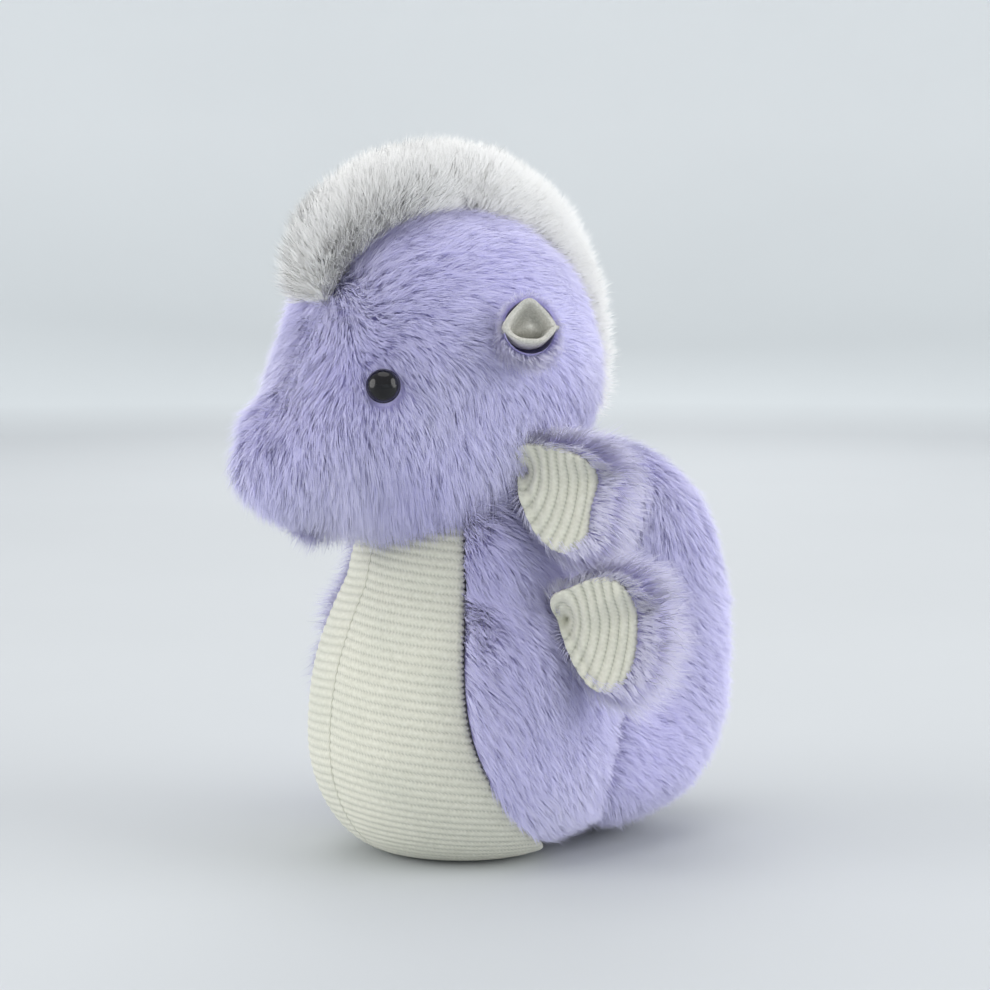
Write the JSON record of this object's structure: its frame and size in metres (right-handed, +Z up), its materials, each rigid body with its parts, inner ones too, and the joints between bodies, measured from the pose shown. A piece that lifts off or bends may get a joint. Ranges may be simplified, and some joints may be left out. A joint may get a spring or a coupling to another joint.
{
  "type": "stuffed sea horse",
  "caption": "Seated fur sea horse soft toy: nodding stuffed head with a cream crest, ribbed belly, curled tail, side fins, small ears and glossy eyes.",
  "frame": {"origin": "on the ground, at the middle of the toy's box", "axes": "+Z up; the toy faces -Y, and its left side is +X"},
  "size_m": [0.1504, 0.178, 0.2221],
  "materials": {
    "lilac_fur": "long pile, matte",
    "cream_fur": "long pile, matte",
    "ribbed_knit": "horizontal rib knit",
    "ear_suede": "short nap",
    "black_gloss": "polished",
    "white_plastic": "moulded",
    "fibre_filling": "loose fibre",
    "pellet_pouch_cloth": "plain woven bag of plastic pellets"
  },
  "bodies": {
    "torso": {"belly_panel_left": "ribbed_knit", "belly_panel_right": "ribbed_knit", "body_fur_left": "lilac_fur", "body_fur_right": "lilac_fur", "body_filling": "fibre_filling", "pellet_pouch": "pellet_pouch_cloth"},
    "head": {"head_fur_left": "lilac_fur", "head_fur_right": "lilac_fur", "eye_left": "black_gloss", "eye_right": "black_gloss", "eye_washer_left": "white_plastic", "eye_washer_right": "white_plastic", "head_filling": "fibre_filling", "crest_fur": "cream_fur"},
    "tail": {"tail_fur_left": "lilac_fur", "tail_fur_right": "lilac_fur", "tail_filling": "fibre_filling"},
    "ear_left": {"ear_fur_left": "lilac_fur", "ear_lining_left": "ear_suede"},
    "fin_upper_left": {"fin_upper_fur_left": "lilac_fur", "fin_upper_lining_left": "ribbed_knit"},
    "fin_lower_left": {"fin_lower_fur_left": "lilac_fur", "fin_lower_lining_left": "ribbed_knit"},
    "ear_right": {"ear_fur_right": "lilac_fur", "ear_lining_right": "ear_suede"},
    "fin_upper_right": {"fin_upper_fur_right": "lilac_fur", "fin_upper_lining_right": "ribbed_knit"},
    "fin_lower_right": {"fin_lower_fur_right": "lilac_fur", "fin_lower_lining_right": "ribbed_knit"}
  },
  "joints": [
    {"name": "head_nod", "type": "hinge", "parent": "torso", "child": "head", "pos_m": [0, -0.00551, 0.09], "axis": [1, 0, 0], "range_deg": [-3, 12], "stiffness_Nm_per_rad": 1.5},
    {"name": "tail_wag", "type": "hinge", "parent": "torso", "child": "tail", "pos_m": [0, -0.00851, 0.07], "axis": [0, 0, 1], "range_deg": [-7, 7], "stiffness_Nm_per_rad": 0.3},
    {"name": "ear_flop_left", "type": "hinge", "parent": "head", "child": "ear_left", "pos_m": [0.044, -0.01451, 0.164], "axis": [0, 1, 0], "range_deg": [-12, 12], "stiffness_Nm_per_rad": 0.02},
    {"name": "ear_flop_right", "type": "hinge", "parent": "head", "child": "ear_right", "pos_m": [-0.044, -0.01451, 0.164], "axis": [0, -1, 0], "range_deg": [-12, 12], "stiffness_Nm_per_rad": 0.02},
    {"name": "fin_flap_upper_left", "type": "hinge", "parent": "torso", "child": "fin_upper_left", "pos_m": [0.04048, -0.01265, 0.121], "axis": [0, 0, 1], "range_deg": [-25, 8], "stiffness_Nm_per_rad": 0.02},
    {"name": "fin_flap_upper_right", "type": "hinge", "parent": "torso", "child": "fin_upper_right", "pos_m": [-0.04048, -0.01265, 0.121], "axis": [0, 0, -1], "range_deg": [-25, 8], "stiffness_Nm_per_rad": 0.02},
    {"name": "fin_flap_lower_left", "type": "hinge", "parent": "torso", "child": "fin_lower_left", "pos_m": [0.05559, -0.00251, 0.076], "axis": [0, 0, 1], "range_deg": [-25, 8], "stiffness_Nm_per_rad": 0.02},
    {"name": "fin_flap_lower_right", "type": "hinge", "parent": "torso", "child": "fin_lower_right", "pos_m": [-0.05559, -0.00251, 0.076], "axis": [0, 0, -1], "range_deg": [-25, 8], "stiffness_Nm_per_rad": 0.02}
  ]
}
